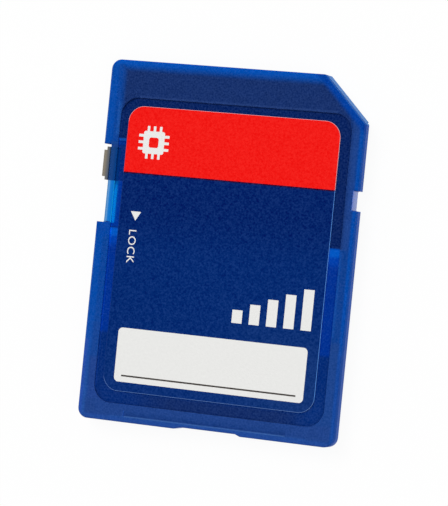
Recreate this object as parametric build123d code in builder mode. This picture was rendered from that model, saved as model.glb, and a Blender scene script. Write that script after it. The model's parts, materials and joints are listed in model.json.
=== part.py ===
from build123d import *

import os
from math import sqrt

# A full-size flash memory card with a sliding write-protect switch, lying on its back with the label up.
# X runs across the card, Y along it towards the contact end, and Z up through its thickness.
# The origin is at the middle of the back face.

# Card envelope, in millimetres
card_width = 24.0
card_length = 32.0
card_thickness = 2.1
corner_radius = 0.9
corner_cut = 4.0  # the 45 degree cut that keys the card, on the right of the contact end
cut_rounding = 0.15
face_edge_radius = 0.15

# Guide rails: both long edges are thinner than the middle, by a step on the back
rail_step_width = 0.75
rail_step_height = 0.7
rail_end_overlap = 0.5  # how far the full thickness reaches over the right rail at the cut corner
back_corner_radius = 0.5
back_edge_chamfer = 0.15
split_height = 1.4  # the plane where the two covers are welded together

# Edge notches, placed from the contact end
lock_notch_start = 7.57
lock_notch_length = 6.95
lock_notch_depth = 0.68
key_notch_start = 9.8
key_notch_length = 1.73
key_notch_depth = 0.4
notch_corner_radius = 0.12

# Moulding gate relief, a little right of the middle of the grip end, and the fingernail groove beside it
gate_relief_offset = 0.35
gate_relief_length = 6.2
gate_relief_ramp = 0.45
gate_relief_depth = 0.18
nail_groove_length = 15.2
nail_groove_width = 0.56
nail_groove_lip = 0.14  # width of the steeper slope on its grip side
nail_groove_depth = 0.16
nail_groove_margin = 0.48

# Label recess in the front face, and the label in it
recess_left_margin = 1.35
recess_right_margin = 1.07
recess_top_margin = 3.3
recess_bottom_margin = 1.6
recess_depth = 0.2
recess_corner_radius = 1.6
recess_edge_radius = 0.06
label_left_gap = 0.75
label_right_gap = 1.0
label_top_gap = 0.7
label_bottom_gap = 1.1
label_corner_radius = 1.45
label_thickness = 0.1

# Walls round the inside of the covers
left_wall = 1.1
right_wall = 1.05
contact_end_wall = 0.95
cut_corner_wall = 0.78
roof_wall = 0.3  # under the label recess
hollow_floor = 0.45
hollow_side_wall = 0.65  # inside the stepped back
stop_rib_width = 0.4  # between the memory module and the hollow below it
hollow_length = 8.75
support_rib_width = 0.6
hollow_bays = 3
hollow_corner_radius = 0.3

# Memory module: a thin laminate with the contacts below and an epoxy moulding above
module_length = 13.9
module_side_clearance = 0.1
module_top_clearance = 0.05
substrate_thickness = 0.25
contact_depth = 0.7  # from the back face to the contacts
contact_thickness = 0.04

# Contacts, counted from the cut corner: 9, then 1 to 8
contact_9_inset = 2.6
contact_pitch = 2.5
contact_7_pitch = 2.43
contact_8_pitch = 1.7
contact_width = 1.6
narrow_contact_width = 1.1
contact_start = 1.35
contact_9_start = 3.7
contact_length = 4.4
contact_9_length = 3.4
contact_corner_radius = 0.15
window_side_margin = 0.15
window_end_margin = 0.6

# Chips inside the moulding
flash_die_width = 12.0
flash_die_length = 8.5
flash_die_thickness = 0.12
flash_die_end_margin = 1.6
controller_die_size = 3.0
controller_die_thickness = 0.12
controller_die_gap = 1.4  # from the flash die
capacitor_length = 0.6
capacitor_width = 0.3
capacitor_height = 0.25
capacitor_pitch = 1.1
capacitor_gap = 0.9  # from the controller die
capacitor_count = 3

# Write-protect slider and its channel
channel_width = 0.9
channel_floor = 0.6
channel_roof_wall = 0.45
channel_wall = 0.35
guide_ridge_width = 0.26
guide_ridge_height = 0.35
slider_length = 2.95
slider_end_gap = 0.25
slider_height_clearance = 0.05
slider_side_clearance = 0.1
guide_clearance = 0.05
knob_length = 2.35
knob_step = 0.3
knob_face_inset = 0.03
knob_height_inset = 0.1
knob_roof_clearance = 0.06  # between the knob and the roof's edge over the channel
knob_edge_radius = 0.08
nib_radius = 0.3
nib_height = 0.07
detent_clearance = 0.02

# Heights worked out from the sizes above
seat_height = contact_depth + contact_thickness
substrate_top = seat_height + substrate_thickness
recess_floor = card_thickness - recess_depth
roof_height = recess_floor - roof_wall
module_top = roof_height - module_top_clearance
channel_roof = card_thickness - channel_roof_wall

# Places worked out from the sizes above
left_edge = -card_width / 2
right_edge = card_width / 2
contact_end = card_length / 2
grip_end = -card_length / 2
back_width = card_width - 2 * rail_step_width
bay_left = left_edge + left_wall
bay_right = right_edge - right_wall
bay_top = contact_end - contact_end_wall
bay_bottom = bay_top - module_length - 2 * module_side_clearance
bay_cut = corner_cut + sqrt(2) * cut_corner_wall - right_wall - contact_end_wall
hollow_top = bay_bottom - stop_rib_width
lock_notch_top = contact_end - lock_notch_start
lock_notch_middle = lock_notch_top - lock_notch_length / 2
key_notch_middle = contact_end - key_notch_start - key_notch_length / 2
channel_left = left_edge + lock_notch_depth
channel_right = channel_left + channel_width
slider_top = lock_notch_top - slider_end_gap
slider_middle = slider_top - slider_length / 2
slider_travel = lock_notch_length - slider_length - 2 * slider_end_gap


def span(low, high):
    """The middle and the length of a stretch, for placing a centred shape."""
    return (low + high) / 2, high - low


def cut_plate(width, cut, radius):
    """A plate as long as the card, with three rounded corners and one cut corner."""
    with BuildSketch() as plate:
        Rectangle(width, card_length)
        keyed = plate.vertices().group_by(Axis.Y)[-1].sort_by(Axis.X)[-1]
        rounded = plate.vertices().filter_by(lambda corner: corner != keyed)
        fillet(rounded, radius)
        keyed = plate.vertices().sort_by(lambda corner: corner.X + corner.Y)[-1]
        chamfer(keyed, cut)
        fillet(plate.vertices().sort_by(lambda corner: corner.X + corner.Y)[-2:], cut_rounding)
    return plate.sketch


card_face = cut_plate(card_width, corner_cut, corner_radius)

# The back is narrower by the steps of the rails, and the right step ends on a slope at the cut corner
with BuildSketch() as back_face:
    add(cut_plate(back_width, corner_cut - rail_step_width, back_corner_radius))
    step_x = back_width / 2
    step_y = contact_end - corner_cut + rail_step_width
    with BuildLine():
        Polyline(
            (step_x - rail_end_overlap, step_y + rail_end_overlap),
            (step_x + rail_end_overlap, step_y - rail_end_overlap),
            (step_x, step_y - 2 * rail_end_overlap),
            close=True,
        )
    make_face()

# What is cut right through both covers at the card's edges
with BuildSketch() as edge_notches:
    with Locations((left_edge, lock_notch_middle)):
        RectangleRounded(2 * lock_notch_depth, lock_notch_length, notch_corner_radius)
    with Locations((right_edge, key_notch_middle)):
        RectangleRounded(2 * key_notch_depth, key_notch_length, notch_corner_radius)
    with BuildLine():
        relief_left = gate_relief_offset - gate_relief_length / 2
        relief_right = gate_relief_offset + gate_relief_length / 2
        relief_floor = grip_end + gate_relief_depth
        Polyline(
            (relief_left, grip_end),
            (relief_left + gate_relief_ramp, relief_floor),
            (relief_right - gate_relief_ramp, relief_floor),
            (relief_right, grip_end),
            close=True,
        )
    make_face()

# The space for the memory module, stepped in beside the slider's channel
with BuildSketch() as module_bay:
    bay_x, bay_width = span(bay_left, bay_right)
    bay_y, bay_length = span(bay_bottom, bay_top)
    with Locations((bay_x, bay_y)):
        Rectangle(bay_width, bay_length)
    chamfer(module_bay.vertices().sort_by(lambda corner: corner.X + corner.Y)[-1], bay_cut)
    step_x, step_width = span(bay_left, channel_right + channel_wall)
    step_y, step_length = span(bay_bottom, lock_notch_top + channel_wall)
    with Locations((step_x, step_y)):
        Rectangle(step_width, step_length, mode=Mode.SUBTRACT)

with BuildSketch() as module_outline:
    add(module_bay.sketch)
    offset(amount=-module_side_clearance, kind=Kind.INTERSECTION, mode=Mode.REPLACE)

# The hollow below the module, with ribs that hold up the roof
with BuildSketch() as hollow:
    hollow_width = back_width - 2 * hollow_side_wall
    hollow_bay_width = (hollow_width - (hollow_bays - 1) * support_rib_width) / hollow_bays
    with Locations((0, hollow_top - hollow_length / 2)):
        with GridLocations(hollow_bay_width + support_rib_width, 0, hollow_bays, 1):
            RectangleRounded(hollow_bay_width, hollow_length, hollow_corner_radius)

# The slider's channel, open to the notch, with a detent hollow at each end of the travel
with BuildSketch() as slider_channel:
    with Locations((channel_left, lock_notch_middle)):
        Rectangle(channel_width, lock_notch_length, align=(Align.MIN, Align.CENTER))
    nib_x = channel_right - slider_side_clearance + nib_height - nib_radius
    with Locations((nib_x, slider_middle), (nib_x, slider_middle - slider_travel)):
        Circle(nib_radius + slider_side_clearance - nib_height + detent_clearance)

with BuildPart() as front_cover:
    front_height = card_thickness - split_height
    with BuildSketch(Plane.XY.offset(split_height)):
        add(card_face)
        add(edge_notches.sketch, mode=Mode.SUBTRACT)
    extrude(amount=front_height)
    fillet(front_cover.faces().sort_by(Axis.Z)[-1].edges(), face_edge_radius)

    # Label recess, with its upper edge rounded
    recess_x, recess_width = span(left_edge + recess_left_margin, right_edge - recess_right_margin)
    recess_y, recess_length = span(grip_end + recess_bottom_margin, contact_end - recess_top_margin)
    with BuildSketch(Plane.XY.offset(recess_floor)):
        with Locations((recess_x, recess_y)):
            RectangleRounded(recess_width, recess_length, recess_corner_radius)
    extrude(amount=recess_depth, mode=Mode.SUBTRACT)
    front_face = front_cover.faces().filter_by(Axis.Z).sort_by(Axis.Z)[-1]
    fillet(front_face.inner_wires()[0].edges(), recess_edge_radius)

    # Fingernail groove: a ramp down towards the grip end, and a steeper slope up out of it
    groove_edge = grip_end + nail_groove_margin
    with BuildSketch(Plane.YZ):
        with BuildLine():
            Polyline(
                (groove_edge + nail_groove_width, card_thickness),
                (groove_edge, card_thickness),
                (groove_edge + nail_groove_lip, card_thickness - nail_groove_depth),
                close=True,
            )
        make_face()
    extrude(amount=nail_groove_length / 2, both=True, mode=Mode.SUBTRACT)

    # Hollows on the inside
    with BuildSketch(Plane.XY.offset(split_height)):
        add(module_bay.sketch)
        add(hollow.sketch)
    extrude(amount=roof_height - split_height, mode=Mode.SUBTRACT)
    with BuildSketch(Plane.XY.offset(split_height)):
        add(slider_channel.sketch)
    extrude(amount=channel_roof - split_height, mode=Mode.SUBTRACT)

# Contact places across the card, from the cut corner
contact_order = (9, 1, 2, 3, 4, 5, 6, 7, 8)
contact_steps = 6 * [contact_pitch] + [contact_7_pitch, contact_8_pitch]
contact_x = {9: right_edge - contact_9_inset}
for previous, number, step in zip(contact_order, contact_order[1:], contact_steps):
    contact_x[number] = contact_x[previous] - step


def contact_size(number):
    """Width, upper end and length of one contact."""
    if number == 9:
        return contact_width, contact_end - contact_9_start, contact_9_length
    width = narrow_contact_width if number in (7, 8) else contact_width
    return width, contact_end - contact_start, contact_length


with BuildPart() as rear_cover:
    with BuildSketch(Plane.XY.offset(rail_step_height)):
        add(card_face)
    extrude(amount=split_height - rail_step_height)
    with BuildSketch():
        add(back_face.sketch)
    extrude(amount=rail_step_height)
    chamfer(rear_cover.faces().sort_by(Axis.Z)[0].edges(), back_edge_chamfer)
    with BuildSketch():
        add(edge_notches.sketch)
    extrude(amount=split_height, mode=Mode.SUBTRACT)

    # Contact windows with a rib between each pair but the last, open at the contact end but not at the cut corner
    with BuildSketch():
        for first, last in [(n, n) for n in (9, 1, 2, 3, 4, 5, 6)] + [(7, 8)]:
            width, top, length = contact_size(first)
            side = width / 2 + window_side_margin
            window_end = top + window_side_margin if first == 9 else contact_end
            window_x, window_width = span(contact_x[last] - side, contact_x[first] + side)
            window_y, window_length = span(top - length - window_end_margin, window_end)
            with Locations((window_x, window_y)):
                Rectangle(window_width, window_length)
    extrude(amount=seat_height, mode=Mode.SUBTRACT)

    # Hollows on the inside
    with BuildSketch(Plane.XY.offset(seat_height)):
        add(module_bay.sketch)
    extrude(amount=split_height - seat_height, mode=Mode.SUBTRACT)
    with BuildSketch(Plane.XY.offset(hollow_floor)):
        add(hollow.sketch)
    extrude(amount=split_height - hollow_floor, mode=Mode.SUBTRACT)
    with BuildSketch(Plane.XY.offset(channel_floor)):
        add(slider_channel.sketch)
    extrude(amount=split_height - channel_floor, mode=Mode.SUBTRACT)

    # Ridge that the slider runs along and that keeps it from falling out
    ridge_x = (channel_left + channel_right) / 2
    with BuildSketch(Plane.XY.offset(channel_floor)):
        with Locations((ridge_x, lock_notch_middle)):
            Rectangle(guide_ridge_width, lock_notch_length)
    extrude(amount=guide_ridge_height)

with BuildPart() as slider:
    # Flange inside the channel, with a detent nib on its inner side
    flange_bottom = channel_floor + slider_height_clearance
    flange_top = channel_roof - slider_height_clearance
    knob_root = channel_left - knob_roof_clearance
    flange_x, flange_width = span(knob_root, channel_right - slider_side_clearance)
    with BuildSketch(Plane.XY.offset(flange_bottom)):
        with Locations((flange_x, slider_middle)):
            Rectangle(flange_width, slider_length)
        with Locations((nib_x, slider_middle)):
            Circle(nib_radius)
    extrude(amount=flange_top - flange_bottom)

    # Knob in the notch, stepped at both ends
    knob_bottom = rail_step_height + knob_height_inset
    knob_top = card_thickness - knob_height_inset
    knob_face = left_edge + knob_face_inset
    knob_x, knob_width = span(knob_face, knob_root)
    base_x, base_width = span(knob_face + knob_step, knob_root)
    with BuildSketch(Plane.XY.offset(knob_bottom)):
        with Locations((knob_x, slider_middle)):
            Rectangle(knob_width, knob_length)
        with Locations((base_x, slider_middle)):
            Rectangle(base_width, slider_length)
    extrude(amount=knob_top - knob_bottom)
    knob_side = slider.faces().sort_by(Axis.X)[0]
    fillet(knob_side.edges(), knob_edge_radius)

    # Groove for the guide ridge
    with BuildSketch(Plane.XY.offset(flange_bottom)):
        with Locations((ridge_x, slider_middle)):
            Rectangle(guide_ridge_width + 2 * guide_clearance, slider_length)
    ridge_top = channel_floor + guide_ridge_height
    extrude(amount=ridge_top + guide_clearance - flange_bottom, mode=Mode.SUBTRACT)

with BuildPart() as label:
    label_x, label_width = span(
        left_edge + recess_left_margin + label_left_gap, right_edge - recess_right_margin - label_right_gap
    )
    label_y, label_length = span(
        grip_end + recess_bottom_margin + label_bottom_gap, contact_end - recess_top_margin - label_top_gap
    )
    with BuildSketch(Plane.XY.offset(recess_floor)):
        with Locations((label_x, label_y)):
            RectangleRounded(label_width, label_length, label_corner_radius)
    extrude(amount=label_thickness)

with BuildPart() as substrate:
    with BuildSketch(Plane.XY.offset(seat_height)):
        add(module_outline.sketch)
    extrude(amount=substrate_thickness)

# The chips stand on the substrate in a row, which is centred beside the slider's channel
chip_row_x = (channel_right + channel_wall + bay_right) / 2
chip_row_width = controller_die_size + controller_die_gap + flash_die_width
flash_die_x = chip_row_x + chip_row_width / 2 - flash_die_width / 2
flash_die_y = bay_bottom + module_side_clearance + flash_die_end_margin + flash_die_length / 2
controller_x = chip_row_x - chip_row_width / 2 + controller_die_size / 2
controller_top = flash_die_y + controller_die_size / 2

with BuildPart() as flash_die:
    with BuildSketch(Plane.XY.offset(substrate_top)):
        with Locations((flash_die_x, flash_die_y)):
            Rectangle(flash_die_width, flash_die_length)
    extrude(amount=flash_die_thickness)

with BuildPart() as controller_die:
    with BuildSketch(Plane.XY.offset(substrate_top)):
        with Locations((controller_x, flash_die_y)):
            Rectangle(controller_die_size, controller_die_size)
    extrude(amount=controller_die_thickness)

capacitors = []
capacitor_y = controller_top + capacitor_gap + capacitor_length / 2
for place in range(capacitor_count):
    capacitor_x = controller_x + (place - (capacitor_count - 1) / 2) * capacitor_pitch
    with BuildPart() as capacitor:
        with BuildSketch(Plane.XY.offset(substrate_top)):
            with Locations((capacitor_x, capacitor_y)):
                Rectangle(capacitor_width, capacitor_length)
        extrude(amount=capacitor_height)
    capacitors.append(capacitor)

with BuildPart() as moulding:
    with BuildSketch(Plane.XY.offset(substrate_top)):
        add(module_outline.sketch)
    extrude(amount=module_top - substrate_top)
    for chip in (flash_die, controller_die, *capacitors):
        add(chip.part, mode=Mode.SUBTRACT)

contacts = {}
for number in contact_order:
    width, top, length = contact_size(number)
    with BuildPart() as contact:
        with BuildSketch(Plane.XY.offset(contact_depth)):
            with Locations((contact_x[number], top - length / 2)):
                RectangleRounded(width, length, contact_corner_radius)
        extrude(amount=contact_thickness)
    contacts[number] = contact

pieces = {
    "front_cover": front_cover,
    "rear_cover": rear_cover,
    "write_protect_slider": slider,
    "front_label": label,
    "module_substrate": substrate,
    "module_moulding": moulding,
    "flash_die": flash_die,
    "controller_die": controller_die,
}
for place, capacitor in enumerate(capacitors, start=1):
    pieces[f"bypass_capacitor_{place}"] = capacitor
for number in sorted(contacts):
    pieces[f"contact_{number}"] = contacts[number]

os.makedirs("parts", exist_ok=True)
for name, piece in pieces.items():
    piece.part.label = name
    export_step(piece.part, f"parts/{name}.step")
print(f"slider travel {slider_travel:.3f} mm")
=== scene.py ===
import json
import math

import bmesh
import bpy
from mathutils import Matrix, Vector


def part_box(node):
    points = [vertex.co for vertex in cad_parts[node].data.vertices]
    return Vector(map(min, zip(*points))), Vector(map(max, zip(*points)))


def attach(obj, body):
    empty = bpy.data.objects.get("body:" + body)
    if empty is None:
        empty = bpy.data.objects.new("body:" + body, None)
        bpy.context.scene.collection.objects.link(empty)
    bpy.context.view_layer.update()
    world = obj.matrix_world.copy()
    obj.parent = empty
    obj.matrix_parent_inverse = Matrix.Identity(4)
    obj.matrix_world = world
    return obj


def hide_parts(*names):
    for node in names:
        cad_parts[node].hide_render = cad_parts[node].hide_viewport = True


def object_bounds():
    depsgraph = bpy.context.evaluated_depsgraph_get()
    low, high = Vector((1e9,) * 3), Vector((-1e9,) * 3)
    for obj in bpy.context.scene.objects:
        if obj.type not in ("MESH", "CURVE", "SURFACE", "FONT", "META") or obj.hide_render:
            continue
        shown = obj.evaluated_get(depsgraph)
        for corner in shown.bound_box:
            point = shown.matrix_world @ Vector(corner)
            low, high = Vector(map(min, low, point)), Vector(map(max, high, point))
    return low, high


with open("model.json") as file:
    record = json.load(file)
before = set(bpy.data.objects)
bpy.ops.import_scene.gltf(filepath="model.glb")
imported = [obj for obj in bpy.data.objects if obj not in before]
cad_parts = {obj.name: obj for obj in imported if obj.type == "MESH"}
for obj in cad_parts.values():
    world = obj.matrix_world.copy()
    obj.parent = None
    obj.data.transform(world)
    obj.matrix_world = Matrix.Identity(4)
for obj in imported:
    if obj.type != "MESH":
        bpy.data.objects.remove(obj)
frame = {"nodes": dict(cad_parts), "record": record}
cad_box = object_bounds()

mm = 0.001
far = 40.0  # beyond the card on any side, in millimetres
weld = 0.0001  # points closer together than this are one, in millimetres
quarter_turn = math.radians(90)
sharp_angle = math.radians(30)
diagonal = math.sqrt(2)

# The photograph's viewpoint: swung towards +X off the label's normal, with the picture rolled a little
picture_width = 448
picture_height = 506
camera_swing = math.radians(20.641)
camera_roll = math.radians(5.705)
camera_distance = 234.061
camera_aside = Vector((0.413, 0.182))
focal_pixels = 2657.435
film_side = 36.0

# Places on the card, in millimetres from its middle
module_low, module_high = [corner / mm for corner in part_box("module_moulding")]
slider_low, slider_high = [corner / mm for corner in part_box("write_protect_slider")]
label_low, label_high = [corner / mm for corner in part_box("front_label")]
thickness = cad_box[1].z / mm
card_cut = 24.0  # x plus y along the card's cut corner
module_cut = 22.8  # the same along the module's
cut_angle = math.radians(45)
notch_top = 8.43
notch_bottom = 1.48
channel_outer = -11.32
channel_inner = -10.42
channel_floor = 0.6
channel_roof = 1.65
roof_inner = -10.36
key_notch_top = 6.2
key_notch_bottom = 4.47
key_notch_wall = 11.6
hollow_bottom = -8.2
hollow_top = 0.55
hollow_left = -10.6
hollow_bays = 3
hollow_bay_width = 6.67
hollow_rib = 0.6
recess_left = -10.65
recess_right = 10.93
recess_top = 12.7
recess_bottom = -14.4
recess_floor = 1.9
groove_half_length = 7.6
groove_top = -14.97
groove_foot = -15.37
groove_edge = -15.52

# Borders between the case's painted shades of light and shade
left_rim = -11.86
left_strip = -11.25
right_strip = 11.72
left_corner = -9.0  # the recess's two ends are straight from about here to the next
right_corner = 9.5
contact_rim = 15.6
lower_half = -7.5
paler_grip = -10.0  # the middle of the slow painted lightening towards the grip, and its length
paler_length = 12.0
foot_left = -5.5  # the recess's foot is bluer outside this and the next
foot_right = 8.3

# The printed film
label_radius = 1.45
bare_edge = 0.03
ink = 0.005
colour_break = 6.1
dark_seam = 0.12  # the blue is darker this close to the red
# Where painted light makes the blue ink deeper or paler
deep_blue_foot = 1.0
pale_blue_top = -9.0
palest_blue_left = 4.0
palest_blue_top = -7.5
panel_left = -8.86
panel_right = 8.91
panel_top = -7.67
panel_bottom = -12.46
panel_radius = 0.4
rule_half_width = 8.2
rule_height = -11.9
rule_thickness = 0.14

# The switch's legend on the film
lock_arrow = [(-8.315, 1.845), (-7.84, 2.655), (-8.815, 2.655)]
lock_word_low = (-8.805, -1.94)
lock_word_high = (-8.09, 1.0)
lock_word_weight = 0.002
lock_word_spacing = 1.13

# A plain chip sign on the red band and a row of rising bars on the blue field
chip_centre = Vector((-7.3, 8.85))
chip_half = 1.0
chip_core_half = 0.45
chip_radius = 0.18
chip_pins = 3
chip_pin_pitch = 0.58
chip_pin_width = 0.24
chip_pin_length = 0.45
bar_count = 5
bar_pitch = 1.6
bar_width = 0.95
first_bar_height = 1.15
bar_height_step = 0.6
bars_left = 1.65
bars_foot = -6.2

# Patterns of the surfaces: grain and specks are finer on a real card, and are drawn this coarse to show
case_patch = 0.5
cloud_patch = 0.6
print_patch = 0.25
moulded_patch = 0.8
plating_patch = 0.6
paper_patch = 40.0
case_grain = 0.15
fine_grain = 0.12
speck_size = 0.16
case_specks = ("#7dabff", 0.032)  # their colour and strength
polycarbonate_ior = 1.58

# The case's shades are painted light and shade: glow where light comes through the plastic, shade where
# dark parts lie behind it, highlights on its edges
# Shades of the case, each laid over those before it: colour, left, right, lower, upper, fade and turn
key_notch_face = (key_notch_wall - 0.03, key_notch_wall + 0.03, key_notch_bottom, key_notch_top, 0.03)
frame_shades = [
    # Left side: a deep strip beside the recess, painted light above the channel, and a pale rim painted as
    # a glow
    ("#0f4599", left_strip, recess_left, -far, far, 0.3),
    ("#1c54a8", recess_left - 0.3, recess_left + 0.1, notch_top + 0.9, recess_top - 0.5, 0.2),
    ("#2c5aaa", -far, left_rim, -far, far, 0.12),
    # The two ends: a painted glow at the contacts, and painted light making it paler towards the grip
    ("#0750b2", -far, far, contact_rim, far, 0.3),
    ("#25519d", -far, far, -far, paler_grip, paler_length),
    # Left side of the lower half
    ("#284fa7", -far, left_rim + 0.24, -far, lower_half - 1.5, 0.3),
    ("#194593", left_strip - 0.05, recess_left, -far, lower_half, 0.5),
    ("#23448d", left_strip - 0.05, left_corner, -far, lower_half - 3.0, 0.5),
    # Right side: a deep strip beside the recess, and a rim painted brighter as a glow
    ("#13418f", recess_right, right_strip, -far, far, 0.2),
    ("#164a9d", recess_right, recess_right + 0.22, lower_half + 1.0, module_low.y, 0.25),
    ("#1f458c", right_corner, right_strip, -far, lower_half + 0.5, 0.4),
    ("#19499d", right_strip + 0.03, far, -far, lower_half - 0.5, 0.3),
    ("#1f438a", recess_right, right_strip - 0.12, module_low.y, module_high.y, 0.3),
    # Grip end: painted shade in the fingernail groove, a painted highlight on its lower slope, and its
    # left end painted lighter against its shade
    ("#22448a", left_strip - 0.05, right_strip - 0.12, groove_edge, recess_bottom + 0.2, 0.35),
    ("#234a97", left_strip - 0.05, right_strip - 0.12, -far, groove_edge - 0.05, 0.2),
    ("#1f4288", -groove_half_length, groove_half_length, groove_foot, groove_top, 0.1),
    ("#3a62a6", -groove_half_length, groove_half_length, groove_edge, groove_foot - 0.05, 0.06),
    ("#2c5db9", -groove_half_length - 0.03, -groove_half_length + 0.03, groove_edge, groove_top, 0.03),
    # Painted shade over the dark module, a painted highlight along the recess's upper edge, and a painted
    # glow on the cut corner
    ("#19326b", recess_left, recess_right + 0.11, module_low.y, module_high.y + 0.33, 0.75),
    ("#233c75", left_corner, right_corner, recess_top, recess_top + 0.2, 0.1),
    ("#04409d", (module_cut + 0.45) / diagonal, far, -far, far, 0.5, cut_angle),
    ("#0e56b0", (card_cut - 0.05) / diagonal, far, -far, far, 0.03, cut_angle),
    # Round the slider's channel: painted light and shade from the channel and the slider behind the
    # plastic
    ("#0b48a4", -far, channel_inner + 0.1, notch_bottom - 1.2, notch_top + 0.3, 0.5),
    ("#18448e", channel_outer, recess_left, notch_top - 0.1, notch_top + 0.3, 0.3),
    ("#1c4187", channel_outer, channel_inner, slider_high.y - 0.1, notch_top, 0.1),
    # The key notch's wall: a lighter blue, a painted reflection
    ("#1a5ec6", *key_notch_face),
]
recess_shades = [
    # The foot, below the label
    ("#162f6a", -far, far, -far, label_low.y - 0.1, 0.3),
    ("#0d3077", -far, foot_left, -far, label_low.y + 1.8, 5.0),
    ("#0f337a", foot_right, far, -far, label_low.y + 1.4, 3.0),
    # Painted glow through the hollow bays, brightest at the module, and then painted shade over the dark
    # module
    ("#033493", -far, far, hollow_bottom, module_low.y, 0.4),
    ("#0242ac", -far, far, hollow_top - 0.95, module_low.y, 0.8),
    ("#0159c4", -far, far, hollow_top - 0.2, module_low.y, 0.4),
    ("#0c2661", -far, far, module_low.y + 0.05, far, 0.15),
    # Beside the slider's channel: painted shade beside the slider where it stands at rest, and painted
    # glow beside the open channel
    ("#0a2d78", -far, label_low.x - 0.05, slider_low.y, notch_top + 0.2, 0.15),
    ("#01308a", -far, label_low.x - 0.05, notch_top, notch_top + 0.35, 0.15),
    ("#104ca6", -far, label_low.x - 0.1, notch_top + 0.38, notch_top + 0.6, 0.15),
    ("#00379a", -far, label_low.x, module_low.y + 0.1, slider_low.y, 0.15),
    ("#0048a4", -far, roof_inner + 0.1, notch_bottom + 0.15, slider_low.y, 0.2),
]
rear_shades = [
    # Painted shade over the dark module, and painted glow and reflection on the cut corner and the key
    # notch's wall
    ("#1b3a7c", module_low.x, module_high.x + 0.15, module_low.y, module_high.y, 0.35),
    ("#0f4ca6", (module_cut + 0.2) / diagonal, far, -far, far, 0.35, cut_angle),
    ("#2f7cca", (card_cut - 0.05) / diagonal, far, -far, far, 0.03, cut_angle),
    ("#1a5ec6", *key_notch_face),
]
# Painted glow through the hollow bays behind the back
for bay in range(hollow_bays):
    bay_left = hollow_left + bay * (hollow_bay_width + hollow_rib)
    rear_shades.append(("#1656b6", bay_left, bay_left + hollow_bay_width, hollow_bottom, hollow_top, 0.5))
# A painted glow of light in the slider's channel, brighter inward
channel_shades = [
    ("#18a0ea", channel_outer, channel_inner + 0.01, notch_bottom, notch_top, 0.02),
    ("#28c2ff", channel_outer + 0.26, channel_inner + 0.01, notch_bottom, notch_top, 0.15),
]


def linear(code):
    """An sRGB colour such as #0a4aa6 as linear red, green and blue with full alpha."""
    parts = [int(code[start:start + 2], 16) / 255 for start in (1, 3, 5)]
    parts = [part / 12.92 if part <= 0.04045 else ((part + 0.055) / 1.055) ** 2.4 for part in parts]
    return (*parts, 1.0)


def add_node(tree, kind, inputs=None, **settings):
    """One node with its settings; an input takes a socket to link or a plain value."""
    made = tree.nodes.new(kind)
    for name, value in settings.items():
        setattr(made, name, value)
    for key, value in (inputs or {}).items():
        if isinstance(value, bpy.types.NodeSocket):
            tree.links.new(value, made.inputs[key])
        else:
            made.inputs[key].default_value = value
    return made


def start_material(name):
    """A new material, its tree, and the surface's place on the card in millimetres."""
    material = bpy.data.materials.new(name)
    material.use_nodes = True
    tree = material.node_tree
    tree.nodes.clear()
    coordinates = add_node(tree, "ShaderNodeTexCoord")
    place = add_node(
        tree,
        "ShaderNodeVectorMath",
        {0: coordinates.outputs["Object"], "Scale": 1 / mm},
        operation="SCALE",
    )
    return material, tree, place.outputs[0]


def mottled(tree, place, size, darker, lighter):
    """A colour that wanders between two tones in patches of that size in millimetres."""
    noise = add_node(tree, "ShaderNodeTexNoise", {"Vector": place, "Scale": 1 / size, "Detail": 3.0})
    tones = add_node(
        tree,
        "ShaderNodeMix",
        {0: noise.outputs["Fac"], 6: linear(darker), 7: linear(lighter)},
        data_type="RGBA",
    )
    return tones.outputs[2]


def clouded(tree, place, colour, size, share):
    """The colour made lighter and darker by that share in patches of that size in millimetres."""
    noise = add_node(tree, "ShaderNodeTexNoise", {"Vector": place, "Scale": 1 / size, "Detail": 3.0})
    level = add_node(
        tree,
        "ShaderNodeMapRange",
        {
            "Value": noise.outputs["Fac"],
            "From Min": 0.3,
            "From Max": 0.7,
            "To Min": 1 - share,
            "To Max": 1 + share,
        },
    )
    shaded = add_node(
        tree,
        "ShaderNodeVectorMath",
        {0: colour, "Scale": level.outputs[0]},
        operation="SCALE",
    )
    return shaded.outputs[0]


def speckled(tree, place, colour, speck, strength):
    """The colour with fine specks that add and take away some of the speck's own colour."""
    noise = add_node(tree, "ShaderNodeTexNoise", {"Vector": place, "Scale": 1 / speck_size, "Detail": 1.0})
    swing = add_node(
        tree,
        "ShaderNodeMapRange",
        {
            "Value": noise.outputs["Fac"],
            "From Min": 0.25,
            "From Max": 0.75,
            "To Min": -strength,
            "To Max": strength,
        },
    )
    specks = add_node(
        tree,
        "ShaderNodeVectorMath",
        {0: linear(speck)[:3], "Scale": swing.outputs[0]},
        operation="SCALE",
    )
    return add_node(tree, "ShaderNodeVectorMath", {0: colour, 1: specks.outputs[0]}).outputs[0]


def grained(tree, place, size, strength):
    """A fine bump with grains of that size in millimetres."""
    noise = add_node(tree, "ShaderNodeTexNoise", {"Vector": place, "Scale": 1 / size, "Detail": 2.0})
    bump = add_node(
        tree,
        "ShaderNodeBump",
        {"Height": noise.outputs["Fac"], "Strength": strength, "Distance": size * mm},
    )
    return bump.outputs[0]


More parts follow.
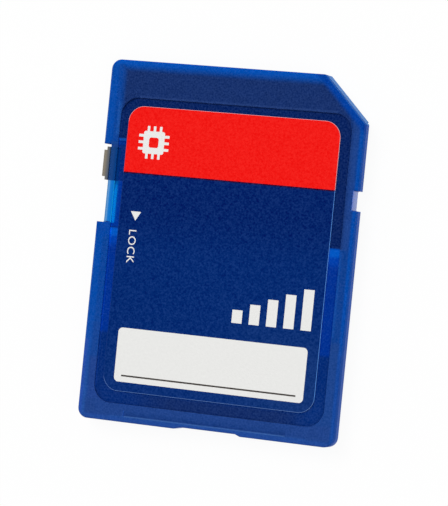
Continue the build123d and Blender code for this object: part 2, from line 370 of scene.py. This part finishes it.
def field(tree, place, left, right, lower, upper, fade, turn=0.0):
    """One inside a rectangle on the card and nothing outside it, with a soft border."""
    middle = Vector(((left + right) / 2, (lower + upper) / 2, 0))
    half = ((right - left) / 2, (upper - lower) / 2, 0)
    centred = add_node(
        tree,
        "ShaderNodeMapping",
        {"Vector": place, "Location": -middle, "Rotation": (0, 0, -turn)},
    )
    reach = add_node(tree, "ShaderNodeVectorMath", {0: centred.outputs[0]}, operation="ABSOLUTE")
    over = add_node(tree, "ShaderNodeVectorMath", {0: reach.outputs[0], 1: half}, operation="SUBTRACT")
    sides = add_node(tree, "ShaderNodeSeparateXYZ", {0: over.outputs[0]})
    farther = add_node(
        tree,
        "ShaderNodeMath",
        {0: sides.outputs[0], 1: sides.outputs[1]},
        operation="MAXIMUM",
    )
    border = add_node(
        tree,
        "ShaderNodeMapRange",
        {
            "Value": farther.outputs[0],
            "From Min": -fade / 2,
            "From Max": fade / 2,
            "To Min": 1.0,
            "To Max": 0.0,
        },
        interpolation_type="SMOOTHSTEP",
    )
    return border.outputs[0]


def painted(tree, place, colour, shades):
    """Soft-edged fields of colour laid over a first colour in turn."""
    for code, *outline in shades:
        laid = add_node(
            tree,
            "ShaderNodeMix",
            {0: field(tree, place, *outline), 6: colour, 7: linear(code)},
            data_type="RGBA",
        )
        colour = laid.outputs[2]
    return colour


def in_recess(tree, place):
    """One in the label's recess and nothing on the frame round it."""
    height = add_node(tree, "ShaderNodeSeparateXYZ", {0: place})
    sunk = add_node(
        tree,
        "ShaderNodeMapRange",
        {
            "Value": height.outputs[2],
            "From Min": recess_floor + 0.03,
            "From Max": thickness - 0.03,
            "To Min": 1.0,
            "To Max": 0.0,
        },
    )
    outline = (recess_left - 0.1, recess_right + 0.1, recess_bottom - 0.1, recess_top + 0.1, 0.05)
    within = field(tree, place, *outline)
    both = add_node(tree, "ShaderNodeMath", {0: sunk.outputs[0], 1: within}, operation="MULTIPLY")
    return both.outputs[0]


def satin_case(tree, place, colour, roughness, specular):
    """The case's satin skin: a little cloudy, with specks and a fine grain, polished in the key notch."""
    cloudy = clouded(tree, place, colour, cloud_patch, 0.05)
    shader = add_node(
        tree,
        "ShaderNodeBsdfPrincipled",
        {
            "Base Color": speckled(tree, place, cloudy, *case_specks),
            "Roughness": roughness,
            "IOR": polycarbonate_ior,
            "Specular IOR Level": specular,
            "Coat Weight": field(tree, place, *key_notch_face),
            "Coat Roughness": 0.12,
            "Coat IOR": polycarbonate_ior,
            "Normal": grained(tree, place, case_grain, 0.12),
        },
    )
    add_node(tree, "ShaderNodeOutputMaterial", {"Surface": shader.outputs[0]})


def front_polycarbonate(name):
    # Polycarbonate tinted in the mass; its see-through look is painted: painted glow on its rims and
    # strips, painted shade where dark parts lie behind it
    material, tree, place = start_material(name)
    frame_tones = mottled(tree, place, case_patch, "#0648a2", "#0c4eac")
    recess_tones = mottled(tree, place, case_patch, "#072c74", "#09317a")
    frame_colour = painted(tree, place, frame_tones, frame_shades)
    recess_colour = painted(tree, place, recess_tones, recess_shades)
    # Painted light: the recess's left wall and its foot are made up to 1.8 times lighter, as light comes
    # through the wall, so neither is in shade
    across = add_node(tree, "ShaderNodeSeparateXYZ", {0: place})
    light = add_node(
        tree,
        "ShaderNodeMapRange",
        {
            "Value": across.outputs[0],
            "From Min": recess_left - 0.01,
            "From Max": recess_left + 0.18,
            "To Min": 1.8,
            "To Max": 1.0,
        },
    )
    painted_lit_recess = add_node(
        tree,
        "ShaderNodeVectorMath",
        {0: recess_colour, "Scale": light.outputs[0]},
        operation="SCALE",
    )
    recess = in_recess(tree, place)
    mixed = add_node(
        tree,
        "ShaderNodeMix",
        {0: recess, 6: frame_colour, 7: painted_lit_recess.outputs[0]},
        data_type="RGBA",
    )
    roughness = add_node(tree, "ShaderNodeMapRange", {"Value": recess, "To Min": 0.42, "To Max": 0.25})
    satin_case(tree, place, mixed.outputs[2], roughness.outputs[0], 0.004)
    return material


def clear_polycarbonate(name):
    # The same plastic where it is thinnest, over the slider's channel: a slight haze to look through
    material, tree, place = start_material(name)
    height = add_node(tree, "ShaderNodeSeparateXYZ", {0: place})
    haze = add_node(
        tree,
        "ShaderNodeMapRange",
        {
            "Value": height.outputs[2],
            "From Min": channel_roof + 0.02,
            "From Max": thickness - 0.05,
            "To Min": 0.0,
            "To Max": 0.3,
        },
    )
    outer_edge = (-far, channel_outer + 0.22, -far, far, 0.3)
    near_recess = (recess_left - 0.21, far, -far, far, 0.3)
    beside_label = (recess_left + 0.012, far, -far, far, 0.12)
    tones = mottled(tree, place, cloud_patch, "#3270d2", "#3878da")
    colour = painted(tree, place, tones, [("#1a6cd6", *near_recess), ("#0a5af2", *beside_label)])
    surface = add_node(
        tree,
        "ShaderNodeBsdfPrincipled",
        {
            "Base Color": speckled(tree, place, colour, *case_specks),
            "Roughness": 0.4,
            "IOR": polycarbonate_ior,
            "Specular IOR Level": 0.008,
            "Normal": grained(tree, place, case_grain, 0.12),
        },
    )
    # The tint is taken once, on the upper faces
    upper = add_node(
        tree,
        "ShaderNodeMapRange",
        {"Value": height.outputs[2], "From Min": channel_roof + 0.02, "From Max": channel_roof + 0.1},
    )
    # Painted light: the tint is paler at the roof's outer edge and brighter beside the label, standing in
    # for light that shines through there
    depth = painted(
        tree,
        place,
        linear("#067fca"),
        [("#98c6da", *outer_edge), ("#0676ca", *near_recess), ("#2cf2ff", *beside_label)],
    )
    tint = add_node(
        tree,
        "ShaderNodeMix",
        {0: upper.outputs[0], 6: linear("#ffffff"), 7: depth},
        data_type="RGBA",
    )
    clear = add_node(tree, "ShaderNodeBsdfTransparent", {"Color": tint.outputs[2]})
    mixed = add_node(
        tree,
        "ShaderNodeMixShader",
        {0: haze.outputs[0], 1: clear.outputs[0], 2: surface.outputs[0]},
    )
    add_node(tree, "ShaderNodeOutputMaterial", {"Surface": mixed.outputs[0]})
    return material


def rear_polycarbonate(name):
    # The same plastic at the back, with painted shade over the module and a painted glow of light in the
    # slider's channel
    material, tree, place = start_material(name)
    tones = mottled(tree, place, case_patch, "#0c4aa4", "#1450ac")
    outside = painted(tree, place, tones, rear_shades)
    channel = painted(tree, place, outside, channel_shades)
    height = add_node(tree, "ShaderNodeSeparateXYZ", {0: place})
    inside = add_node(
        tree,
        "ShaderNodeMapRange",
        {"Value": height.outputs[2], "From Min": channel_floor - 0.2, "From Max": channel_floor - 0.1},
    )
    mixed = add_node(
        tree,
        "ShaderNodeMix",
        {0: inside.outputs[0], 6: outside, 7: channel},
        data_type="RGBA",
    )
    satin_case(tree, place, mixed.outputs[2], 0.42, 0.06)
    return material


def moulded(
    name,
    darker,
    lighter,
    roughness,
    specular=0.5,
    patch=moulded_patch,
    shades=(),
    speck="#ffffff",
    strength=0.0,
):
    """A moulded or printed surface: two close tones, specks, a fine grain and a satin gloss."""
    material, tree, place = start_material(name)
    colour = painted(tree, place, mottled(tree, place, patch, darker, lighter), shades)
    shader = add_node(
        tree,
        "ShaderNodeBsdfPrincipled",
        {
            "Base Color": speckled(tree, place, colour, speck, strength),
            "Roughness": roughness,
            "IOR": 1.5,
            "Specular IOR Level": specular,
            "Normal": grained(tree, place, fine_grain, 0.15),
        },
    )
    add_node(tree, "ShaderNodeOutputMaterial", {"Surface": shader.outputs[0]})
    return material


def plated(name, darker, lighter):
    """Satin metal plating with fine marks along the card's length."""
    material, tree, place = start_material(name)
    stretched = add_node(tree, "ShaderNodeMapping", {"Vector": place, "Scale": (1.0, 0.08, 1.0)})
    shader = add_node(
        tree,
        "ShaderNodeBsdfPrincipled",
        {
            "Base Color": mottled(tree, place, plating_patch, darker, lighter),
            "Metallic": 1.0,
            "Roughness": 0.28,
            "Normal": grained(tree, stretched.outputs[0], fine_grain, 0.2),
        },
    )
    add_node(tree, "ShaderNodeOutputMaterial", {"Surface": shader.outputs[0]})
    return material


def white_paper(name):
    # Matt white paper: the camera and reflections see it nearly as plain white, and it keeps the shadow
    material, tree, place = start_material(name)
    paper = add_node(
        tree,
        "ShaderNodeBsdfDiffuse",
        {"Color": mottled(tree, place, paper_patch, "#f8f8f8", "#fbfbfb")},
    )
    white = add_node(tree, "ShaderNodeEmission", {"Color": (1, 1, 1, 1), "Strength": 1.0})
    ray = add_node(tree, "ShaderNodeLightPath")
    seen = add_node(
        tree,
        "ShaderNodeMath",
        {0: ray.outputs["Is Camera Ray"], 1: ray.outputs["Is Glossy Ray"]},
        operation="MAXIMUM",
    )
    clear = add_node(
        tree,
        "ShaderNodeMath",
        {0: seen.outputs[0], 1: ray.outputs["Is Transmission Ray"]},
        operation="MAXIMUM",
    )
    share = add_node(tree, "ShaderNodeMath", {0: clear.outputs[0], 1: 0.93}, operation="MULTIPLY")
    mixed = add_node(
        tree,
        "ShaderNodeMixShader",
        {0: share.outputs[0], 1: paper.outputs[0], 2: white.outputs[0]},
    )
    add_node(tree, "ShaderNodeOutputMaterial", {"Surface": mixed.outputs[0]})
    return material


def finished(name, mesh, slot, *materials):
    """The piece itself, riding on the card."""
    for material in materials:
        mesh.materials.append(material)
    piece = bpy.data.objects.new(name, mesh)
    bpy.context.scene.collection.objects.link(piece)
    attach(piece, "card")
    return piece


def plain_mesh(holder):
    """The mesh that an object's modifiers make, and the object removed."""
    bpy.context.scene.collection.objects.link(holder)
    graph = bpy.context.evaluated_depsgraph_get()
    mesh = bpy.data.meshes.new_from_object(
        holder.evaluated_get(graph), preserve_all_data_layers=True, depsgraph=graph
    )
    bpy.data.objects.remove(holder)
    return mesh


def cover_with_clear_roof(name, cover_finish, roof_finish):
    """The front cover, cut so that its roof over the slider's channel takes a finish of its own."""
    roof_top = slider_high.y
    shape = bmesh.new()
    shape.from_mesh(frame["nodes"]["front_cover"].data)
    bmesh.ops.remove_doubles(shape, verts=shape.verts, dist=weld * mm)
    for point, normal in (
        ((roof_inner, 0, 0), (1, 0, 0)),
        ((0, notch_bottom, 0), (0, 1, 0)),
        ((0, roof_top, 0), (0, 1, 0)),
    ):
        bmesh.ops.bisect_plane(
            shape,
            geom=shape.verts[:] + shape.edges[:] + shape.faces[:],
            plane_co=Vector(point) * mm,
            plane_no=normal,
            dist=weld * mm,
        )
    for part in shape.faces:
        x, y, z = part.calc_center_median() / mm
        beside = x < roof_inner and notch_bottom + 0.01 < y < roof_top - 0.01
        part.material_index = int(beside and z > channel_roof - 0.01)
        part.smooth = True
    for edge in shape.edges:
        edge.smooth = edge.is_manifold and edge.calc_face_angle() < sharp_angle
    mesh = bpy.data.meshes.new(name)
    shape.to_mesh(mesh)
    shape.free()
    if "custom_normal" in mesh.attributes:
        mesh.attributes.remove(mesh.attributes["custom_normal"])
    holder = bpy.data.objects.new(name, mesh)
    weighted = holder.modifiers.new("weighted_normals", "WEIGHTED_NORMAL")
    weighted.mode = "FACE_AREA"
    weighted.keep_sharp = True
    piece = finished(name, plain_mesh(holder), "blue_case", cover_finish, roof_finish)
    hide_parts("front_cover")
    return piece


def rounded_outline(left, right, lower, upper, lower_radius, upper_radius, steps=12):
    """Corner points of a rectangle with rounded lower and upper corners, anticlockwise."""
    corners = [
        (right, lower, lower_radius, -90),
        (right, upper, upper_radius, 0),
        (left, upper, upper_radius, 90),
        (left, lower, lower_radius, 180),
    ]
    points = []
    for x, y, radius, start in corners:
        centre_x = x - radius if x == right else x + radius
        centre_y = y - radius if y == upper else y + radius
        count = steps if radius else 0
        for step in range(count + 1):
            angle = math.radians(start + 90 * step / max(count, 1))
            points.append((centre_x + radius * math.cos(angle), centre_y + radius * math.sin(angle)))
    return points


def square_outline(centre, half, radius):
    """Corner points of a square with rounded corners."""
    return rounded_outline(
        centre.x - half,
        centre.x + half,
        centre.y - half,
        centre.y + half,
        radius,
        radius,
    )


def printed_plate(name, outline, base, material):
    """A closed layer of ink with that outline, standing one ink thickness over its base height."""
    shape = bmesh.new()
    lower = shape.faces.new([shape.verts.new((x * mm, y * mm, base * mm)) for x, y in outline])
    raised = bmesh.ops.extrude_face_region(shape, geom=[lower])["geom"]
    moved = [part for part in raised if isinstance(part, bmesh.types.BMVert)]
    bmesh.ops.translate(shape, verts=moved, vec=(0, 0, ink * mm))
    bmesh.ops.recalc_face_normals(shape, faces=shape.faces)
    mesh = bpy.data.meshes.new(name)
    shape.to_mesh(mesh)
    shape.free()
    return finished(name, mesh, "label_film", material)


def printed_words(name, words, low, high, base, material, turn, weight, spacing):
    """Plain letters fitted between two corners on the label."""
    text = bpy.data.curves.new(name, "FONT")
    text.body = words
    text.extrude = 0.5
    text.offset = weight
    text.space_character = spacing
    holder = bpy.data.objects.new(name, text)
    mesh = bpy.data.meshes.new_from_object(holder)
    bpy.data.objects.remove(holder)
    bpy.data.curves.remove(text)
    mesh.transform(Matrix.Rotation(turn, 4, "Z"))
    target_low = Vector((*low, base)) * mm
    target_high = Vector((*high, base + ink)) * mm
    for axis in range(3):
        places = [vertex.co[axis] for vertex in mesh.vertices]
        start = min(places)
        length = max(places) - start
        for vertex in mesh.vertices:
            share = (vertex.co[axis] - start) / length
            vertex.co[axis] = target_low[axis] + share * (target_high[axis] - target_low[axis])
    shape = bmesh.new()
    shape.from_mesh(mesh)
    bmesh.ops.remove_doubles(shape, verts=shape.verts, dist=weld * mm)
    bmesh.ops.recalc_face_normals(shape, faces=shape.faces)
    shape.to_mesh(mesh)
    shape.free()
    return finished(name, mesh, "label_film", material)


def start_tree(name, sizes):
    """A Geometry Nodes tree with named inputs and one result, and the sockets of those inputs."""
    tree = bpy.data.node_groups.new(name, "GeometryNodeTree")
    for label, kind in sizes:
        tree.interface.new_socket(name=label, in_out="INPUT", socket_type=kind)
    tree.interface.new_socket(name="Geometry", in_out="OUTPUT", socket_type="NodeSocketGeometry")
    return tree, add_node(tree, "NodeGroupInput").outputs


def end_tree(tree, shape, material):
    """The last steps of a tree: real meshes instead of instances, and their ink."""
    real = add_node(tree, "GeometryNodeRealizeInstances", {0: shape})
    inked = add_node(
        tree,
        "GeometryNodeSetMaterial",
        {"Geometry": real.outputs[0], "Material": material},
    )
    add_node(tree, "NodeGroupOutput", {0: inked.outputs[0]})
    return tree


def seated_block(tree):
    """A block one unit in size that stands on the middle of its lower long edge."""
    block = add_node(tree, "GeometryNodeMeshCube", {"Size": (1.0, 1.0, 1.0)})
    seated = add_node(
        tree,
        "GeometryNodeTransform",
        {"Geometry": block.outputs["Mesh"], "Translation": (0.0, 0.5, 0.5)},
    )
    return seated.outputs[0]


def rising_bars(material):
    """A row of upright bars, each one step higher than the one before it."""
    tree, sizes = start_tree(
        "rising_bars",
        [
            ("Place", "NodeSocketVector"),
            ("Bars", "NodeSocketInt"),
            ("Pitch", "NodeSocketFloat"),
            ("Width", "NodeSocketFloat"),
            ("First Height", "NodeSocketFloat"),
            ("Height Step", "NodeSocketFloat"),
            ("Ink", "NodeSocketFloat"),
        ],
    )
    step = add_node(tree, "ShaderNodeCombineXYZ", {0: sizes["Pitch"]})
    row = add_node(
        tree,
        "GeometryNodeMeshLine",
        {"Count": sizes["Bars"], "Start Location": sizes["Place"], "Offset": step.outputs[0]},
    )
    index = add_node(tree, "GeometryNodeInputIndex")
    height = add_node(
        tree,
        "ShaderNodeMath",
        {0: index.outputs[0], 1: sizes["Height Step"], 2: sizes["First Height"]},
        operation="MULTIPLY_ADD",
    )
    size = add_node(
        tree,
        "ShaderNodeCombineXYZ",
        {0: sizes["Width"], 1: height.outputs[0], 2: sizes["Ink"]},
    )
    bars = add_node(
        tree,
        "GeometryNodeInstanceOnPoints",
        {"Points": row.outputs[0], "Instance": seated_block(tree), "Scale": size.outputs[0]},
    )
    return end_tree(tree, bars.outputs[0], material)


def chip_pins_round(material):
    """Short pins on the four sides of a square."""
    tree, sizes = start_tree(
        "chip_pins",
        [
            ("Place", "NodeSocketVector"),
            ("Pins", "NodeSocketInt"),
            ("Pitch", "NodeSocketFloat"),
            ("Width", "NodeSocketFloat"),
            ("Length", "NodeSocketFloat"),
            ("Reach", "NodeSocketFloat"),
            ("Ink", "NodeSocketFloat"),
        ],
    )
    gaps = add_node(tree, "ShaderNodeMath", {0: sizes["Pins"], 1: 1.0}, operation="SUBTRACT")
    length = add_node(
        tree,
        "ShaderNodeMath",
        {0: gaps.outputs[0], 1: sizes["Pitch"]},
        operation="MULTIPLY",
    )
    half = add_node(tree, "ShaderNodeMath", {0: length.outputs[0], 1: -0.5}, operation="MULTIPLY")
    start = add_node(tree, "ShaderNodeCombineXYZ", {0: half.outputs[0], 1: sizes["Reach"]})
    step = add_node(tree, "ShaderNodeCombineXYZ", {0: sizes["Pitch"]})
    row = add_node(
        tree,
        "GeometryNodeMeshLine",
        {"Count": sizes["Pins"], "Start Location": start.outputs[0], "Offset": step.outputs[0]},
    )
    size = add_node(
        tree,
        "ShaderNodeCombineXYZ",
        {0: sizes["Width"], 1: sizes["Length"], 2: sizes["Ink"]},
    )
    pins = add_node(
        tree,
        "GeometryNodeInstanceOnPoints",
        {"Points": row.outputs[0], "Instance": seated_block(tree), "Scale": size.outputs[0]},
    )
    centre = add_node(
        tree,
        "GeometryNodeMeshLine",
        {"Count": 4, "Start Location": sizes["Place"], "Offset": (0.0, 0.0, 0.0)},
    )
    index = add_node(tree, "GeometryNodeInputIndex")
    angle = add_node(
        tree,
        "ShaderNodeMath",
        {0: index.outputs[0], 1: quarter_turn},
        operation="MULTIPLY",
    )
    turned = add_node(tree, "ShaderNodeCombineXYZ", {2: angle.outputs[0]})
    sides = add_node(
        tree,
        "GeometryNodeInstanceOnPoints",
        {"Points": centre.outputs[0], "Instance": pins.outputs[0], "Rotation": turned.outputs[0]},
    )
    return end_tree(tree, sides.outputs[0], material)


def printed_repeats(name, tree, values):
    """What a tree makes with those values, as one printed piece."""
    holder = bpy.data.objects.new(name, bpy.data.meshes.new(name))
    modifier = holder.modifiers.new("repeats", "NODES")
    modifier.node_group = tree
    for socket in tree.interface.items_tree:
        if socket.in_out == "INPUT":
            modifier[socket.identifier] = values[socket.name]
    return finished(name, plain_mesh(holder), "label_film")


def softbox(name, place, side, watts):
    """A square lamp that looks at the card."""
    lamp = bpy.data.lights.new(name, "AREA")
    lamp.shape = "SQUARE"
    lamp.size = side
    lamp.energy = watts
    holder = bpy.data.objects.new(name, lamp)
    holder.location = place
    holder.rotation_mode = "QUATERNION"
    holder.rotation_quaternion = (-Vector(place)).to_track_quat("-Z", "Y")
    bpy.context.scene.collection.objects.link(holder)


# Finishes of the card's own pieces
finishes = {
    # Acetal, moulded: a warm grey with a soft sheen; painted shade and a painted blue reflection make it
    # darker and bluer where the case shades it
    "grey_slider": moulded(
        "slider_acetal",
        "#80786a",
        "#8a8274",
        0.45,
        specular=0.1,
        shades=[
            ("#6b6a68", channel_outer - 0.36, far, -far, far, 0.2),
            ("#40546e", channel_outer - 0.15, far, -far, far, 0.3),
            ("#39404a", channel_outer + 0.12, far, -far, far, 0.2),
        ],
    ),
    # Polyester film: only its cut edge shows, a thin line that takes the tint of the ink beside it,
    # painted as a highlight that is lighter along the red band and on the right, with painted shade on the
    # left
    "label_film": moulded(
        "polyester_film",
        "#587ebc",
        "#688cc8",
        0.3,
        specular=0.1,
        shades=[
            ("#0c3684", -far, label_low.x + 0.4, label_low.y + 1.1, far, 0.5),
            ("#5a98e8", label_high.x - 0.43, far, label_low.y + 1.1, far, 0.5),
            ("#e0a8b0", -far, far, colour_break, far, 0.05),
            ("#b04a60", -far, label_low.x + 0.4, colour_break, label_high.y - 1.4, 0.1),
        ],
    ),
    # Solder mask over laminate: deep green with a low gloss
    "laminate": moulded("solder_mask", "#0d2a1e", "#143527", 0.35),
    # Epoxy with a glass filler: black, matt and a little cloudy
    "epoxy_moulding": moulded("epoxy_moulding", "#0f0f11", "#19191c", 0.6, specular=0.2),
    # Ground silicon: dark grey with a dull shine
    "silicon": moulded("ground_silicon", "#3a3c44", "#50535c", 0.4),
    # Fired ceramic: brown and matt
    "ceramic_chip": moulded("fired_ceramic", "#7d6850", "#947d62", 0.5),
    # Gold over nickel: warm, satin, with fine rubbing marks
    "gold_plating": plated("gold_plating", "#c99a3c", "#e3bd62"),
}
front_finish = front_polycarbonate("front_polycarbonate")
own_finishes = {"front_cover": front_finish, "rear_cover": rear_polycarbonate("rear_polycarbonate")}
for part in frame["record"]["subparts"]:
    name = part["node"]
    mesh = frame["nodes"][name].data
    mesh.materials.clear()
    mesh.materials.append(own_finishes.get(name) or finishes[part["material_slot"]])
cover_with_clear_roof("case_front", front_finish, clear_polycarbonate("clear_polycarbonate"))

# Inks of the label: dense screen print with a satin face and a fine grain
red_ink = moulded(
    "red_ink",
    "#f01713",
    "#f61f1a",
    0.35,
    specular=0.01,
    patch=print_patch,
    speck="#ff6e5f",
    strength=0.045,
)
blue_ink = moulded(
    "blue_ink",
    "#03296e",
    "#072e74",
    0.35,
    specular=0.01,
    patch=print_patch,
    shades=[
        # Painted light: deeper in the upper half, paler at the foot and most of all on its right
        ("#042568", -far, far, deep_blue_foot, far, 5.0),
        ("#0c3074", -far, far, -far, pale_blue_top, 8.0),
        ("#143676", palest_blue_left, far, -far, palest_blue_top, 9.0),
        ("#2a1034", -far, far, colour_break - dark_seam, far, 0.1),
    ],
    speck="#6aa1ff",
    strength=0.037,
)
white_ink = moulded("white_ink", "#e6e6e4", "#eeeeec", 0.5, specular=0.2, patch=print_patch)
line_ink = moulded("line_ink", "#332d29", "#403a35", 0.5, specular=0.2, patch=print_patch)

# The print: two colour fields on the film, and what is printed over them
film_top = label_high.z
first_layer = film_top + ink
second_layer = film_top + 2 * ink
left = label_low.x + bare_edge
right = label_high.x - bare_edge
field_radius = label_radius - bare_edge
printed_plate(
    "print_red_band",
    rounded_outline(left, right, colour_break, label_high.y - bare_edge, 0, field_radius),
    film_top,
    red_ink,
)
printed_plate(
    "print_blue_field",
    rounded_outline(left, right, label_low.y + bare_edge, colour_break, field_radius, 0),
    film_top,
    blue_ink,
)
printed_plate(
    "print_writing_panel",
    rounded_outline(panel_left, panel_right, panel_bottom, panel_top, panel_radius, panel_radius),
    first_layer,
    white_ink,
)
printed_plate(
    "print_writing_rule",
    rounded_outline(
        -rule_half_width,
        rule_half_width,
        rule_height - rule_thickness / 2,
        rule_height + rule_thickness / 2,
        0,
        0,
    ),
    second_layer,
    line_ink,
)
printed_plate("print_lock_arrow", lock_arrow, first_layer, white_ink)
printed_words(
    "print_lock_word",
    "LOCK",
    lock_word_low,
    lock_word_high,
    first_layer,
    white_ink,
    -quarter_turn,
    lock_word_weight,
    lock_word_spacing,
)
chip_body = square_outline(chip_centre, chip_half, chip_radius)
chip_core = square_outline(chip_centre, chip_core_half, chip_radius)
printed_plate("print_chip_body", chip_body, first_layer, white_ink)
printed_plate("print_chip_core", chip_core, second_layer, red_ink)
printed_repeats(
    "print_chip_pins",
    chip_pins_round(white_ink),
    {
        "Place": Vector((chip_centre.x, chip_centre.y, first_layer)) * mm,
        "Pins": chip_pins,
        "Pitch": chip_pin_pitch * mm,
        "Width": chip_pin_width * mm,
        "Length": chip_pin_length * mm,
        "Reach": chip_half * mm,
        "Ink": ink * mm,
    },
)
printed_repeats(
    "print_rising_bars",
    rising_bars(white_ink),
    {
        "Place": Vector((bars_left + bar_width / 2, bars_foot, first_layer)) * mm,
        "Bars": bar_count,
        "Pitch": bar_pitch * mm,
        "Width": bar_width * mm,
        "First Height": first_bar_height * mm,
        "Height Step": bar_height_step * mm,
        "Ink": ink * mm,
    },
)

# A floor of white paper, in metres
floor_half = 2.0
floor_mesh = bpy.data.meshes.new("floor")
corners = [(-1, -1), (1, -1), (1, 1), (-1, 1)]
floor_mesh.from_pydata([(x * floor_half, y * floor_half, 0) for x, y in corners], [], [(0, 1, 2, 3)])
floor = bpy.data.objects.new("floor", floor_mesh)
bpy.context.scene.collection.objects.link(floor)
floor_mesh.materials.append(white_paper("white_paper"))

# A pale tent round the card, open and dim overhead so that the label's face stays free of glare
world = bpy.data.worlds.new("studio_tent")
world.use_nodes = True
sky = world.node_tree
direction = add_node(sky, "ShaderNodeTexCoord")
rise = add_node(sky, "ShaderNodeSeparateXYZ", {0: direction.outputs["Generated"]})
tent_light = add_node(
    sky,
    "ShaderNodeMapRange",
    {"Value": rise.outputs[2], "From Min": 0.0, "From Max": 1.0, "To Min": 0.95, "To Max": 0.02},
)
sky.links.new(tent_light.outputs[0], sky.nodes["Background"].inputs["Strength"])
sky.nodes["Background"].inputs["Color"].default_value = (1, 1, 1, 1)
bpy.context.scene.world = world

# Two soft lamps, placed in metres
softbox("key_softbox", (-0.2, 0.3, 0.62), 0.45, 3.05)
softbox("fill_softbox", (0.35, -0.2, 0.6), 0.45, 1.4)

# The camera
back = Vector((math.sin(camera_swing), 0, math.cos(camera_swing)))
level_right = Vector((0, 1, 0)).cross(back).normalized()
level_up = back.cross(level_right)
right_axis = math.cos(camera_roll) * level_right + math.sin(camera_roll) * level_up
up_axis = math.cos(camera_roll) * level_up - math.sin(camera_roll) * level_right
camera_place = camera_distance * back - camera_aside.x * right_axis - camera_aside.y * up_axis
camera_turn = Matrix((right_axis, up_axis, back)).transposed().to_4x4()
camera_data = bpy.data.cameras.new("camera")
camera_data.sensor_width = film_side
camera_data.lens = film_side * focal_pixels / max(picture_width, picture_height)
camera_data.clip_start = 0.01
camera = bpy.data.objects.new("camera", camera_data)
camera.matrix_world = Matrix.Translation(camera_place * mm) @ camera_turn
bpy.context.scene.collection.objects.link(camera)
bpy.context.scene.camera = camera
bpy.context.scene.view_settings.view_transform = "Standard"
